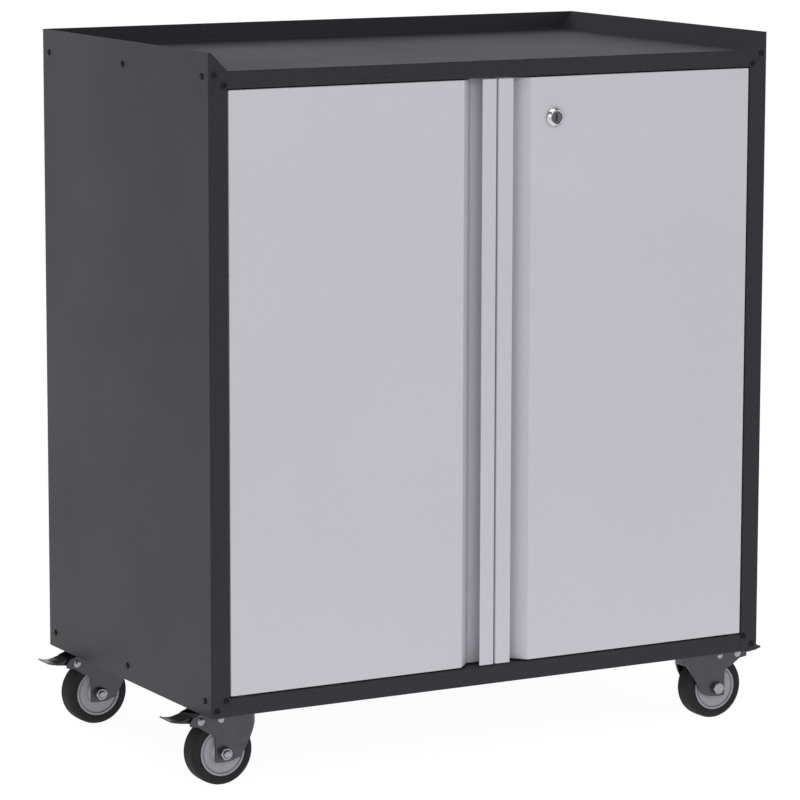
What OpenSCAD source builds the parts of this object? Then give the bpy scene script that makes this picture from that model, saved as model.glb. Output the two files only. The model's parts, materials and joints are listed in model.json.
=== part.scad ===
// Rolling steel storage cabinet: folded sheet body, rimmed worktop, two pivoted doors
// with finger channels, a cam lock, one adjustable shelf and four braked swivel casters.
// Origin on the floor under the middle of the body, front towards -Y, units are mm.

/* [Body] */
// Width over the two side panels
body_w = 711; // [640:1:800]
// Depth from the front face to the back face
body_d = 422; // [400:1:500]
// Height from the floor to the top of the rim
total_h = 806; // [760:1:900]
// Thickness of the folded sheet steel
sheet_t = 1; // [0.8:0.1:1.2]
// Height of the rim around the worktop
rim_h = 20; // [16:1:26]
// Height of the rail between worktop and doors
top_rail_h = 19; // [17:1:30]
// Height of the rail under the doors
bottom_rail_h = 21; // [20:1:26]
// Width of the front post on each side
stile_w = 22.5; // [20:0.5:28]

/* [Doors] */
// Thickness of a closed door
door_t = 20; // [20:1:24]
// Gap between a door and the frame round it
door_gap = 1.5; // [1.4:0.1:2.2]
// Gap between the two doors
meeting_gap = 2; // [1.6:0.2:3]
// Width of the strip that the fingers hook behind
strip_w = 18.5; // [14:0.5:20]
// Distance from the meeting edge to the flat of the door
pull_w = 42; // [40:1:48]
// Depth of the finger channel
pull_depth = 18; // [14:1:18]
// Distance of the hinge pin from the door's outer edge
pin_inset = 12; // [11:0.5:14]
// Distance of the hinge pin behind the door's face
pin_back = 6; // [5:0.5:6]

/* [Lock] */
// Distance of the lock from the middle of the cabinet
lock_x = 73; // [68:1:90]
// Distance of the lock below the door's top edge
lock_drop = 45; // [42:1:50]
// Diameter of the lock's bezel
lock_d = 22; // [20:1:24]

/* [Shelf] */
// Which pair of slots carries the shelf, counted from the bottom
shelf_slot = 12; // [3:1:20]
// Height of the shelf's front edge
shelf_edge_h = 25; // [20:1:30]

/* [Casters] */
// Diameter of a wheel
wheel_d = 75; // [74:0.5:76]
// Width of a tyre
wheel_w = 24.4; // [22:0.2:25]
// Height of a caster from the floor to its plate's top
caster_h = 106; // [106:1:112]
// Distance of an axle from the cabinet's side
axle_inset = 32.5; // [30:0.5:40]
// Distance of an axle from the cabinet's front or back
caster_inset = 50.5; // [48:0.5:60]
// Distance from the swivel axis to the axle
caster_offset = 20; // [18:1:22]

/* [Hidden] */
$fn = 48;

side_x = body_w / 2;
front_y = -body_d / 2;
back_y = body_d / 2;
pan_z = caster_h + sheet_t;          // top of the base pan
base_z = pan_z - bottom_rail_h;      // lower edge of the body
deck_z = total_h - rim_h;            // top of the worktop
rail_z = deck_z - top_rail_h;        // underside of the top rail
in_x = side_x - sheet_t;             // inner face of a side panel
fold_in_x = in_x - 0.1;              // folded edges that lie against a side panel
bend_r = sheet_t + 0.2;              // outer radius of a fold

// Side panels
stile_return = 14;
stile_flat = 2.8;                    // level top of the post before its slanted cut
back_flange_w = 15;

// Worktop
rail_return = 22;
rail_lip_h = 10;
skirt_h = 14;                        // folded edge below the worktop's surface
tab_w = 29;                          // screw tabs behind the posts
tab_lap = 8;
rim_apex = rim_h + 1.6;              // where the slanted rim would end without its rounded bend
deck_edge_x = fold_in_x - rim_apex;

// Screws
screw_r = 1.8;
screw_hole_r = 2;
screw_head_r = 3.5;
screw_head_h = 1.9;
side_screw_inset = 16;
side_screw_rows = [pan_z - 4, deck_z - 6];
post_screws = [
    [7, base_z + 7.5],
    [18.5, base_z + 18],
    [7, deck_z - 4],
    [18.5, deck_z - 15.5]
];
back_screw_rows = 5;

// Doors
door_x = side_x - stile_w - door_gap;      // outer edge
door_in_x = meeting_gap / 2;               // meeting edge
door_z0 = pan_z + door_gap;
door_z1 = rail_z - door_gap;
skin_t = door_t - sheet_t;                 // depth of the skin in front of the back sheet
back_sheet_y = front_y + skin_t;
channel_y = front_y + pull_depth;          // face of the channel's floor
flat_x = door_in_x + pull_w;               // where the flat of the door starts
channel_x = flat_x - pull_depth;           // foot of the 45 degree wall
pin_x = door_x - pin_inset;
pin_y = front_y + pin_back;
pin_r = 3;
pin_hole_r = 3.05;
bush_r = 4.1;
bush_flange_r = 6.5;
bush_flange_h = door_gap - 0.3;
bush_h = 3;
collar_r = 5;
collar_h = 4;

// Lock
lock_z = door_z1 - lock_drop;
barrel_r = 9.5;
bezel_h = 5;
plug_r = 7;
plug_gap = 0.05;
nut_flats = 24;
nut_h = 3.5;
barrel_end_y = front_y + door_t + nut_h + 0.4;
cam_t = 2;
cam_w = 16;
cam_front_y = barrel_end_y + 0.3;
cam_reach = rail_z - lock_z + 9.5;

// Catches and stops
catch_x = 38;
catch_l = 36;
catch_y = back_sheet_y + 2.4;
catch_z0 = rail_z - 14.5;
strike_t = 1;

// Uprights, shelf and clips
upright_w = 22;
upright_d = 9;
upright_x = in_x - upright_d;
upright_y = [front_y + 33, back_y - 31];   // front edge of the front and rear pair
upright_z0 = pan_z + 8;
upright_z1 = rail_z - 2;
slot_pitch = 25;
slot_w = 3.6;
slot_h = 12;
slot_z0 = upright_z0 + 12;
slot_count = floor((upright_z1 - slot_z0 - slot_h) / slot_pitch) + 1;
clip_t = 1.4;
clip_w = 14;
shelf_skirt_h = 20;
shelf_z = slot_z0 + slot_pitch * shelf_slot + slot_h + shelf_skirt_h;
shelf_x = upright_x - clip_t - 0.4;
shelf_front_y = front_y + 28;
shelf_back_y = back_y - 5;

// Casters: heights are from the floor, x runs from the swivel axis towards the axle
axle_x = side_x - axle_inset;
swivel_x = axle_x - caster_offset;
swivel_y = back_y - caster_inset;
wheel_r = wheel_d / 2;
axle_r = 4;
plate_l = 92;
plate_w = 64;
plate_t = 2.5;
plate_bolts = [37.5, 22.5];
bolt_r = 4;
bolt_hole_r = 4.25;
hex_flats = 13;
hex_h = 6.5;
bolt_head_h = 5.3;
race_r = 22;
plate_race_z = caster_h - 6.5;
ball_r = 2.4;
ball_ring_r = 17;
balls = 12;
fork_race_z = plate_race_z - 2 * ball_r - 0.3;
crown_z = fork_race_z - 3.4;
crown_t = 2.5;
kingpin_r = 5;
fork_gap = 30;
fork_t = 2;
fork_y = fork_gap / 2 + fork_t;
hub_r = 26.7;
brake_pin = [28.5, 38.3];            // from the axle
brake_pin_r = 3;
stud = [4, 37.8];                    // from the axle
brake_travel = 16;
brake_gap = 0.5;                     // between the pressed brake and the tyre
pedal_w = 27;
pedal_t = 1.8;

// Name, side (+1 right) and end (+1 rear) of each caster
CASTERS = [
    ["front_left", -1, -1],
    ["front_right", 1, -1],
    ["rear_left", -1, 1],
    ["rear_right", 1, 1]
];
CASTER_PARTS = ["fork", "hub", "tyre", "axle", "pedal", "rivets"];

// Name, side and end of each shelf upright
UPRIGHTS = [
    ["upright_front_left", -1, 0],
    ["upright_front_right", 1, 0],
    ["upright_rear_left", -1, 1],
    ["upright_rear_right", 1, 1]
];

// ---------------------------------------------------------------- paints

charcoal = [0.27, 0.27, 0.29];
door_grey = [0.75, 0.75, 0.78];
zinc = [0.80, 0.81, 0.83];
black = [0.12, 0.12, 0.13];
chrome = [0.86, 0.87, 0.89];
fork_grey = [0.42, 0.42, 0.44];
rubber_grey = [0.24, 0.24, 0.25];
hub_grey = [0.66, 0.66, 0.69];
nylon = [0.88, 0.88, 0.85];

// ---------------------------------------------------------------- folded sheet

function unit(v) = v / norm(v);
function right_of(v) = [v[1], -v[0]];
function turned(v, a) = [v[0] * cos(a) - v[1] * sin(a), v[0] * sin(a) + v[1] * cos(a)];
function reversed(list) = [for (i = [len(list) - 1 : -1 : 0]) list[i]];

// The path with each of its corners turned into an arc of radius r
function rounded(path, r, steps = 3) = [
    path[0],
    for (i = [1 : len(path) - 2])
        let (
            back = unit(path[i - 1] - path[i]),
            ahead = unit(path[i + 1] - path[i]),
            half = acos(back * ahead) / 2,
            centre = path[i] + unit(back + ahead) * r / sin(half),
            first = path[i] + back * r / tan(half) - centre,
            turn = (180 - 2 * half) * sign(right_of(back) * ahead)
        )
        for (s = [0 : steps]) centre + turned(first, turn * s / steps),
    path[len(path) - 1]
];

// Normal of a path at a point, long enough to keep the sheet's thickness in a corner
function corner_normal(path, i) =
    let (
        n = len(path),
        before = right_of(unit(path[max(i, 1)] - path[max(i, 1) - 1])),
        after = right_of(unit(path[min(i, n - 2) + 1] - path[min(i, n - 2)])),
        middle = unit(before + after)
    )
    middle / (middle * before);

function sheet_outline(path) = concat(
    path,
    reversed([for (i = [0 : len(path) - 1]) path[i] + corner_normal(path, i) * sheet_t])
);

// Section of a bent sheet whose visible face follows the path, thickness to its right
module folded(path, r = bend_r) {
    polygon(sheet_outline(rounded(path, r)));
}

module along_x(x0, x1) {
    translate([x0, 0, 0])
        rotate([90, 0, 90])
            linear_extrude(x1 - x0)
                children();
}

module along_y(y0, y1) {
    translate([0, y1, 0])
        rotate([90, 0, 0])
            linear_extrude(y1 - y0)
                children();
}

module along_z(z0, z1) {
    translate([0, 0, z0])
        linear_extrude(z1 - z0)
            children();
}

module block(low, high) {
    translate(low)
        cube(high - low);
}

module rod_y(r, y0, y1) {
    translate([0, y0, 0])
        rotate([-90, 0, 0])
            cylinder(r = r, h = y1 - y0);
}

module rod_z(r, z0, z1) {
    translate([0, 0, z0])
        cylinder(r = r, h = z1 - z0);
}

// side is +1 for the right half of the cabinet, -1 for its mirror image
module on_side(side) {
    if (side > 0)
        children();
    else
        mirror([1, 0, 0])
            children();
}

module both_sides() {
    for (side = [-1, 1])
        on_side(side)
            children();
}

// ---------------------------------------------------------------- fasteners

// Pan head screw pointing down, seated at z = 0
module pan_screw(length) {
    difference() {
        union() {
            rotate_extrude()
                polygon([
                    [0, 0],
                    [screw_head_r, 0],
                    [screw_head_r, 0.5 * screw_head_h],
                    [0.8 * screw_head_r, 0.9 * screw_head_h],
                    [0.5 * screw_head_r, screw_head_h],
                    [0, screw_head_h]
                ]);
            rod_z(screw_r, -length, 0.1);
        }
        for (turn = [0, 90])
            rotate([0, 0, turn])
                block([-2.2, -0.4, 0.35 * screw_head_h], [2.2, 0.4, screw_head_h + 1]);
    }
}

module hexagon(flats, h) {
    cylinder(d = flats / cos(30), h = h, $fn = 6);
}

// Seats of the screws through the right side panel, head outwards
module at_side_screws() {
    for (y = [front_y + side_screw_inset, 0, back_y - side_screw_inset])
        for (z = side_screw_rows)
            translate([side_x, y, z])
                rotate([0, 90, 0])
                    children();
}

// Seats of the screws through the right front post, head forwards
module at_post_screws() {
    for (p = post_screws)
        translate([side_x - p[0], front_y, p[1]])
            rotate([90, 0, 0])
                children();
}

// Seats of the screws through the right rear flange, head backwards
module at_back_screws() {
    for (i = [0 : back_screw_rows - 1])
        translate([
            side_x - back_flange_w / 2,
            back_y,
            pan_z - 6 + i * (deck_z - pan_z - 12) / (back_screw_rows - 1)
        ])
            rotate([-90, 0, 0])
                children();
}

module screw_hole() {
    rod_z(screw_hole_r, -6, 2);
}

// ---------------------------------------------------------------- body

// Right side panel: outer wall, front post with its return, rear flange
module side_panel() {
    difference() {
        along_z(base_z, total_h)
            folded([
                [side_x - back_flange_w, back_y],
                [side_x, back_y],
                [side_x, front_y],
                [side_x - stile_w, front_y],
                [side_x - stile_w, front_y + stile_return]
            ]);
        // the post's return runs only along the door opening
        for (z = [[base_z - 1, pan_z + 0.5], [rail_z - 0.5, total_h + 1]])
            block(
                [side_x - stile_w - 1, front_y + sheet_t, z[0]],
                [side_x - stile_w + bend_r + sheet_t, front_y + stile_return + 1, z[1]]
            );
        // the post's top follows the slanted rim
        along_y(front_y - 1, front_y + stile_return)
            polygon([
                [side_x - stile_flat, total_h],
                [side_x - stile_flat, total_h + 1],
                [side_x - stile_flat - rim_h - 6, total_h + 1],
                [side_x - stile_flat - rim_h - 6, total_h - rim_h - 6]
            ]);
        // the rear splash takes the flange's place above the deck
        block(
            [side_x - back_flange_w - 1, back_y - 2, deck_z - sheet_t],
            [in_x, back_y + 1, total_h + 1]
        );
        at_side_screws()
            screw_hole();
        at_post_screws()
            screw_hole();
        at_back_screws()
            screw_hole();
    }
}

module left_side_panel() {
    color(charcoal)
        on_side(-1)
            side_panel();
}

module right_side_panel() {
    color(charcoal)
        side_panel();
}

module back_panel() {
    color(charcoal)
        difference() {
            along_x(sheet_t + 0.1 - fold_in_x, fold_in_x - sheet_t - 0.1)
                folded([
                    [back_y - 14, deck_z - sheet_t],
                    [back_y - sheet_t, deck_z - sheet_t],
                    [back_y - sheet_t, base_z + 2]
                ]);
            both_sides()
                at_back_screws()
                    screw_hole();
        }
}

// Screw tab behind the right front post
module post_tab(z0, z1) {
    block(
        [side_x - stile_w - door_gap - tab_lap, front_y + sheet_t, z0],
        [side_x - stile_w - door_gap - tab_lap + tab_w, front_y + 2 * sheet_t, z1]
    );
}

module worktop() {
    rail_x = side_x - stile_w - 0.2;
    right_rim = [
        [deck_edge_x, deck_z],
        [fold_in_x, deck_z + rim_apex],
        [fold_in_x, deck_z - skirt_h]
    ];
    left_rim = [for (p = reversed(right_rim)) [-p[0], p[1]]];
    color(charcoal)
        difference() {
            union() {
                // deck, slanted side rims and the edges folded down inside the side panels
                along_y(front_y + sheet_t, back_y - sheet_t - 0.1)
                    folded(concat(left_rim, right_rim));
                // front rail with its return and stiffening lip
                along_x(-rail_x, rail_x)
                    folded([
                        [front_y + rail_return, rail_z + rail_lip_h],
                        [front_y + rail_return, rail_z],
                        [front_y, rail_z],
                        [front_y, deck_z],
                        [front_y + 10, deck_z]
                    ]);
                // rear splash and the fold that joins it to the deck
                block(
                    [0.3 - fold_in_x, back_y - sheet_t, deck_z - sheet_t],
                    [fold_in_x - 0.3, back_y, total_h]
                );
                block(
                    [-deck_edge_x, back_y - 3 * sheet_t, deck_z - sheet_t],
                    [deck_edge_x, back_y, deck_z]
                );
                both_sides()
                    post_tab(rail_z + 0.3, deck_z);
            }
            both_sides() {
                at_side_screws()
                    screw_hole();
                at_post_screws()
                    screw_hole();
                translate([pin_x, pin_y, 0])
                    rod_z(bush_r, rail_z - 1, rail_z + sheet_t + 1);
            }
        }
}

module base_pan() {
    rail_x = side_x - stile_w - 0.2;
    color(charcoal)
        difference() {
            union() {
                along_x(-rail_x, rail_x)
                    folded([
                        [front_y + 13, base_z],
                        [front_y, base_z],
                        [front_y, pan_z],
                        [back_y - 2 * sheet_t, pan_z],
                        [back_y - 2 * sheet_t, base_z + 3]
                    ]);
                along_y(front_y + stile_return + 1, back_y - 2 * sheet_t)
                    folded([
                        [-fold_in_x, base_z + 3],
                        [-fold_in_x, pan_z],
                        [fold_in_x, pan_z],
                        [fold_in_x, base_z + 3]
                    ]);
                // ledges that carry the surface past the posts, and the screw tabs
                both_sides() {
                    block(
                        [rail_x - 2, front_y + 2 * sheet_t, pan_z - sheet_t],
                        [fold_in_x, front_y + stile_return + 2, pan_z]
                    );
                    block(
                        [fold_in_x - sheet_t, front_y + 2 * sheet_t, base_z + 3],
                        [fold_in_x, front_y + stile_return + 2, pan_z]
                    );
                    post_tab(base_z + 3, pan_z);
                }
            }
            both_sides() {
                at_side_screws()
                    screw_hole();
                at_post_screws()
                    screw_hole();
                translate([pin_x, pin_y, 0])
                    rod_z(bush_r, pan_z - sheet_t - 1, pan_z + 1);
            }
            at_casters()
                at_plate_bolts()
                    rod_z(bolt_hole_r, pan_z - sheet_t - 1, pan_z + 1);
        }
}

// ---------------------------------------------------------------- shelf

// Slotted channel against the inside of the right side panel
module upright(y) {
    difference() {
        along_z(upright_z0, upright_z1)
            translate([upright_x, y])
                difference() {
                    square([upright_d, upright_w]);
                    translate([sheet_t, sheet_t])
                        square([upright_d, upright_w - 2 * sheet_t]);
                }
        for (i = [0 : slot_count - 1])
            translate([0, y + upright_w / 2, slot_z0 + i * slot_pitch])
                block(
                    [upright_x - 1, -slot_w / 2, 0],
                    [upright_x + sheet_t + 1, slot_w / 2, slot_h]
                );
    }
}

module placed_upright(u) {
    color(charcoal)
        on_side(u[1])
            upright(upright_y[u[2]]);
}

// Spring-steel clip: a plate on the upright, two hooks in its slots, a ledge for the shelf
module shelf_clip(y) {
    top = shelf_z - shelf_skirt_h;
    middle = y + upright_w / 2;
    block(
        [upright_x - clip_t, middle - clip_w / 2, top - slot_pitch - slot_h + 2],
        [upright_x, middle + clip_w / 2, top]
    );
    block(
        [upright_x - clip_t - 11, middle - clip_w / 2, top - clip_t],
        [upright_x, middle + clip_w / 2, top]
    );
    for (z = [top - slot_h + 4, top - slot_h + 4 - slot_pitch])
        block(
            [upright_x - 0.1, middle - slot_w / 2 + 0.3, z],
            [upright_x + sheet_t + 1.8, middle + slot_w / 2 - 0.3, z + 5]
        );
}

module shelf_clips() {
    color(zinc)
        both_sides()
            for (y = upright_y)
                shelf_clip(y);
}

module shelf() {
    color(charcoal)
        union() {
            along_x(-shelf_x, shelf_x)
                folded([
                    [shelf_front_y + 12, shelf_z - shelf_edge_h],
                    [shelf_front_y, shelf_z - shelf_edge_h],
                    [shelf_front_y, shelf_z],
                    [shelf_back_y, shelf_z],
                    [shelf_back_y, shelf_z - shelf_skirt_h]
                ]);
            along_y(shelf_front_y + 4, shelf_back_y)
                folded([
                    [-shelf_x, shelf_z - shelf_skirt_h],
                    [-shelf_x, shelf_z],
                    [shelf_x, shelf_z],
                    [shelf_x, shelf_z - shelf_skirt_h]
                ]);
        }
}

// ---------------------------------------------------------------- fixed hardware

module side_screws() {
    color(black)
        both_sides()
            at_side_screws()
                pan_screw(8);
}

module post_screws() {
    color(black)
        both_sides()
            at_post_screws()
                pan_screw(8);
}

module back_screws() {
    color(black)
        both_sides()
            at_back_screws()
                pan_screw(8);
}

// Flanged bush with its flange towards the door, flange seated at z = 0
module bush() {
    difference() {
        union() {
            rod_z(bush_flange_r, 0, bush_flange_h);
            rod_z(bush_r, -bush_h, 0.1);
        }
        rod_z(pin_hole_r, -bush_h - 1, bush_flange_h + 1);
    }
}

module hinge_bushes() {
    color(nylon)
        both_sides()
            translate([pin_x, pin_y, 0]) {
                translate([0, 0, pan_z])
                    bush();
                translate([0, 0, rail_z])
                    mirror([0, 0, 1])
                        bush();
            }
}

// Magnet block under the top rail with a tab on the rail's lip
module magnet_catches() {
    lip_y = front_y + rail_return;
    color(black)
        both_sides()
            translate([catch_x, 0, 0]) {
                block(
                    [-catch_l / 2, catch_y, catch_z0],
                    [catch_l / 2, catch_y + 15, rail_z - 0.2]
                );
                block(
                    [-catch_l / 2 + 6, lip_y, rail_z - 1],
                    [catch_l / 2 - 6, lip_y + 2, rail_z + rail_lip_h - 1]
                );
            }
}

// Rubber buffers on the base pan that the closed doors rest against
module door_stops() {
    stop_y = front_y + door_t + 0.4;
    color(rubber_grey)
        both_sides()
            difference() {
                block(
                    [catch_x - 12, stop_y, pan_z],
                    [catch_x + 12, stop_y + 14, pan_z + 14]
                );
                translate([catch_x - 13, stop_y + 6, pan_z + 6])
                    cube([26, 20, 20]);
            }
}

// ---------------------------------------------------------------- doors

// Front skin of the right door: hinge edge, face, finger channel and hooked strip
module door_skin() {
    lid = [
        [door_x - 0.5, front_y + 0.5],
        [flat_x, front_y + 0.5],
        [channel_x, channel_y + 0.5],
        [channel_x, back_sheet_y],
        [door_x - 0.5, back_sheet_y]
    ];
    difference() {
        union() {
            along_z(door_z0, door_z1)
                folded([
                    [door_x, back_sheet_y],
                    [door_x, front_y],
                    [flat_x, front_y],
                    [channel_x, channel_y],
                    [door_in_x + sheet_t, channel_y],
                    [door_in_x + sheet_t, front_y + sheet_t],
                    [door_in_x + strip_w, front_y + sheet_t]
                ]);
            along_z(door_z0, door_z0 + sheet_t)
                polygon(lid);
            along_z(door_z1 - sheet_t, door_z1)
                polygon(lid);
        }
        translate([pin_x, pin_y, 0])
            rod_z(pin_r, door_z0 - 1, door_z1 + 1);
    }
}

module door_back() {
    block(
        [door_in_x + 3, back_sheet_y, door_z0 + 1.5],
        [door_x - 1, back_sheet_y + sheet_t, door_z1 - 1.5]
    );
    // pressed stiffening ribs, raised towards the inside of the door
    for (x = [0.35, 0.68])
        block(
            [door_in_x + x * (door_x - door_in_x) - 15, back_sheet_y - 6, door_z0 + 60],
            [door_in_x + x * (door_x - door_in_x) + 15, back_sheet_y, door_z1 - 90]
        );
}

// Pin at the foot of the right door, collar seated on the door's lower flange
module hinge_pin() {
    rod_z(pin_r, -sheet_t - 6.5, 8);
    rod_z(collar_r, 0, collar_h);
}

module door_pins() {
    translate([pin_x, pin_y, 0]) {
        translate([0, 0, door_z0 + sheet_t])
            hinge_pin();
        translate([0, 0, door_z1 - sheet_t])
            mirror([0, 0, 1])
                hinge_pin();
    }
}

// Steel plate that the magnet holds
module strike() {
    block(
        [catch_x - 15, back_sheet_y + sheet_t, catch_z0 - 1],
        [catch_x + 15, back_sheet_y + sheet_t + strike_t, rail_z - 4]
    );
}

module left_door_skin() {
    color(door_grey)
        on_side(-1)
            door_skin();
}

module left_door_back() {
    color(door_grey)
        on_side(-1)
            door_back();
}

module left_hinge_pins() {
    color(zinc)
        on_side(-1)
            door_pins();
}

module left_strike() {
    color(zinc)
        on_side(-1)
            strike();
}

module at_lock() {
    translate([lock_x, 0, lock_z])
        children();
}

module right_door_skin() {
    color(door_grey)
        difference() {
            door_skin();
            at_lock()
                rod_y(barrel_r, front_y - 1, front_y + 2);
        }
}

module right_door_back() {
    color(door_grey)
        difference() {
            door_back();
            at_lock()
                rod_y(barrel_r, back_sheet_y - 1, back_sheet_y + sheet_t + 1);
        }
}

module right_hinge_pins() {
    color(zinc)
        door_pins();
}

module right_strike() {
    color(zinc)
        strike();
}

// ---------------------------------------------------------------- lock

module lock_body() {
    color(chrome)
        at_lock()
            difference() {
                union() {
                    translate([0, front_y, 0])
                        rotate([90, 0, 0])
                            rotate_extrude()
                                polygon([
                                    [0, 0],
                                    [lock_d / 2, 0],
                                    [lock_d / 2, bezel_h * 0.35],
                                    [lock_d / 2 - 1, bezel_h * 0.7],
                                    [lock_d / 2 - 3, bezel_h],
                                    [0, bezel_h]
                                ]);
                    rod_y(barrel_r, front_y, barrel_end_y);
                }
                rod_y(plug_r + plug_gap, front_y - bezel_h - 1, barrel_end_y + 1);
            }
}

module lock_nut() {
    color(zinc)
        at_lock()
            translate([0, front_y + door_t, 0])
                rotate([-90, 0, 0])
                    difference() {
                        hexagon(nut_flats, nut_h);
                        rod_z(barrel_r, -1, nut_h + 1);
                    }
}

// Plug with an upright slot for a double-bitted key
module lock_plug() {
    face_y = front_y - bezel_h + 0.8;
    color(black)
        at_lock()
            difference() {
                rod_y(plug_r, face_y, cam_front_y);
                block([-0.9, face_y - 1, -4.2], [0.9, face_y + 9, 4.2]);
                rod_y(2, cam_front_y - 8, cam_front_y + 1);
            }
}

// Cam, level when unlocked and upright behind the top rail's lip when locked
module lock_cam() {
    color(zinc)
        at_lock()
            difference() {
                along_y(cam_front_y, cam_front_y + cam_t)
                    union() {
                        circle(d = cam_w);
                        translate([0, -cam_w / 2])
                            square([cam_reach - 6, cam_w]);
                        translate([cam_reach - 6, -cam_w / 2 + 3])
                            square([6, cam_w - 6]);
                        for (s = [-1, 1])
                            translate([cam_reach - 6, s * (cam_w / 2 - 3)])
                                circle(r = 3);
                    }
                rod_y(2.2, cam_front_y - 1, cam_front_y + cam_t + 1);
            }
}

module lock_cam_screw() {
    color(zinc)
        at_lock() {
            rod_y(2, cam_front_y - 7, cam_front_y + cam_t + 0.1);
            rod_y(4.5, cam_front_y + cam_t, cam_front_y + cam_t + 2.4);
        }
}

// ---------------------------------------------------------------- casters

// Puts a caster that trails towards +X under one corner
module at_caster(c) {
    translate([c[1] * swivel_x, c[2] * swivel_y, 0])
        rotate([0, 0, c[1] > 0 ? 0 : 180])
            children();
}

module at_casters() {
    for (c = CASTERS)
        at_caster(c)
            children();
}

module at_plate_bolts() {
    for (x = [-1, 1])
        for (y = [-1, 1])
            translate([x * plate_bolts[0], y * plate_bolts[1], 0])
                children();
}

module at_axle() {
    translate([caster_offset, 0, wheel_r])
        children();
}

module caster_bolts() {
    color(zinc)
        at_casters()
            at_plate_bolts() {
                translate([0, 0, pan_z])
                    hexagon(hex_flats, bolt_head_h);
                rod_z(bolt_r, caster_h - plate_t - hex_h - 1.5, pan_z + 0.1);
            }
}

module caster_nuts() {
    color(zinc)
        at_casters()
            at_plate_bolts()
                difference() {
                    translate([0, 0, caster_h - plate_t - hex_h])
                        hexagon(hex_flats, hex_h);
                    rod_z(bolt_r, 0, caster_h);
                }
}

// Headed pin that joins plate and fork and lets the fork turn
module caster_kingpins() {
    color(zinc)
        at_casters() {
            rod_z(kingpin_r, crown_z - 3.5, caster_h - 0.5);
            rod_z(8, crown_z - 3.9, crown_z - 0.3);
        }
}

module caster_balls() {
    color(chrome)
        at_casters()
            for (i = [0 : balls - 1])
                rotate([0, 0, i * 360 / balls])
                    translate([ball_ring_r, 0, plate_race_z - ball_r])
                        sphere(r = ball_r, $fn = 24);
}

// Mounting plates, each with its upper ball race
module caster_plates() {
    corner = 7;
    color(zinc)
        at_casters()
            difference() {
                union() {
                    along_z(caster_h - plate_t, caster_h) {
                        square([plate_l, plate_w - 2 * corner], center = true);
                        square([plate_l - 2 * corner, plate_w], center = true);
                        for (x = [-1, 1])
                            for (y = [-1, 1])
                                translate([x * (plate_l / 2 - corner), y * (plate_w / 2 - corner)])
                                    circle(corner);
                    }
                    rod_z(race_r + 2, plate_race_z, caster_h - 1);
                }
                rod_z(kingpin_r, plate_race_z - 1, caster_h + 1);
                at_plate_bolts()
                    rod_z(bolt_hole_r, caster_h - plate_t - 1, caster_h + 1);
            }
}

// Side view of the fork about the axle: nose, leg and ear
module fork_outline() {
    top = crown_z + 1 - wheel_r;
    nose = -caster_offset - race_r;
    // behind the crown the legs stay below the body's lower edge, so the fork can turn
    low_z = base_z - 0.6 - wheel_r;
    offset(1.5, $fn = 24)
        offset(-3, $fn = 24)
            offset(1.5, $fn = 24)
                difference() {
                    polygon([
                        [nose, top],
                        [nose, 28.5],
                        [-39, 28.3],
                        [-32.5, 15.5],
                        [-25, 1.8],
                        [-19, -6.2],
                        [-9, -9.7],
                        [2, -10.6],
                        [10.8, -9.8],
                        [10.8, 19],
                        [13.5, 22.6],
                        [18, 23],
                        [32, 32.3],
                        [41.5, 33.6],
                        [41.5, 38.5],
                        [37, 43.5],
                        [8, top]
                    ]);
                    translate([10.5, low_z])
                        square([40, top]);
                }
}

module caster_fork() {
    nose = -caster_offset - race_r;
    color(fork_grey)
        difference() {
            union() {
                at_axle()
                    intersection() {
                        along_y(-fork_y - 1, fork_y + 1)
                            fork_outline();
                        along_z(-20, crown_z + 1)
                            difference() {
                                offset(12)
                                    offset(-12)
                                        translate([nose, -fork_y])
                                            square([120, 2 * fork_y]);
                                offset(10)
                                    offset(-10)
                                        translate([nose + fork_t, -fork_gap / 2])
                                            square([120, fork_gap]);
                            }
                    }
                along_z(crown_z, crown_z + crown_t)
                    intersection() {
                        offset(12)
                            offset(-12)
                                translate([-race_r, -fork_y])
                                    square([120, 2 * fork_y]);
                        square([2 * race_r + 4, 60], center = true);
                    }
                rod_z(race_r, crown_z, fork_race_z);
            }
            rod_z(kingpin_r + 0.08, crown_z - 5, fork_race_z + 1);
            at_axle() {
                rod_y(axle_r + 0.05, -fork_y - 1, fork_y + 1);
                translate([brake_pin[0], 0, brake_pin[1]])
                    rod_y(brake_pin_r, -fork_y - 1, fork_y + 1);
                translate([stud[0], 0, stud[1]])
                    rod_y(2, -fork_y - 1, fork_y + 1);
            }
        }
}

// Moulded wheel centre: boss, disc with a groove, and rim
module caster_hub() {
    half = wheel_w / 2;
    color(hub_grey)
        at_axle()
            rotate([90, 0, 0])
                difference() {
                    rotate_extrude()
                        polygon([
                            [0, -fork_gap / 2 + 1],
                            [9, -fork_gap / 2 + 1],
                            [9, -half],
                            [23.4, -half],
                            [23.4, -half + 1],
                            [24.3, -half + 1],
                            [24.3, -half - 0.5],
                            [hub_r - 0.5, -half - 0.5],
                            [hub_r, -half],
                            [hub_r, half],
                            [hub_r - 0.5, half + 0.5],
                            [24.3, half + 0.5],
                            [24.3, half - 1],
                            [23.4, half - 1],
                            [23.4, half],
                            [9, half],
                            [9, fork_gap / 2 - 1],
                            [0, fork_gap / 2 - 1]
                        ]);
                    rod_z(axle_r + 0.08, -fork_gap, fork_gap);
                }
}

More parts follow.
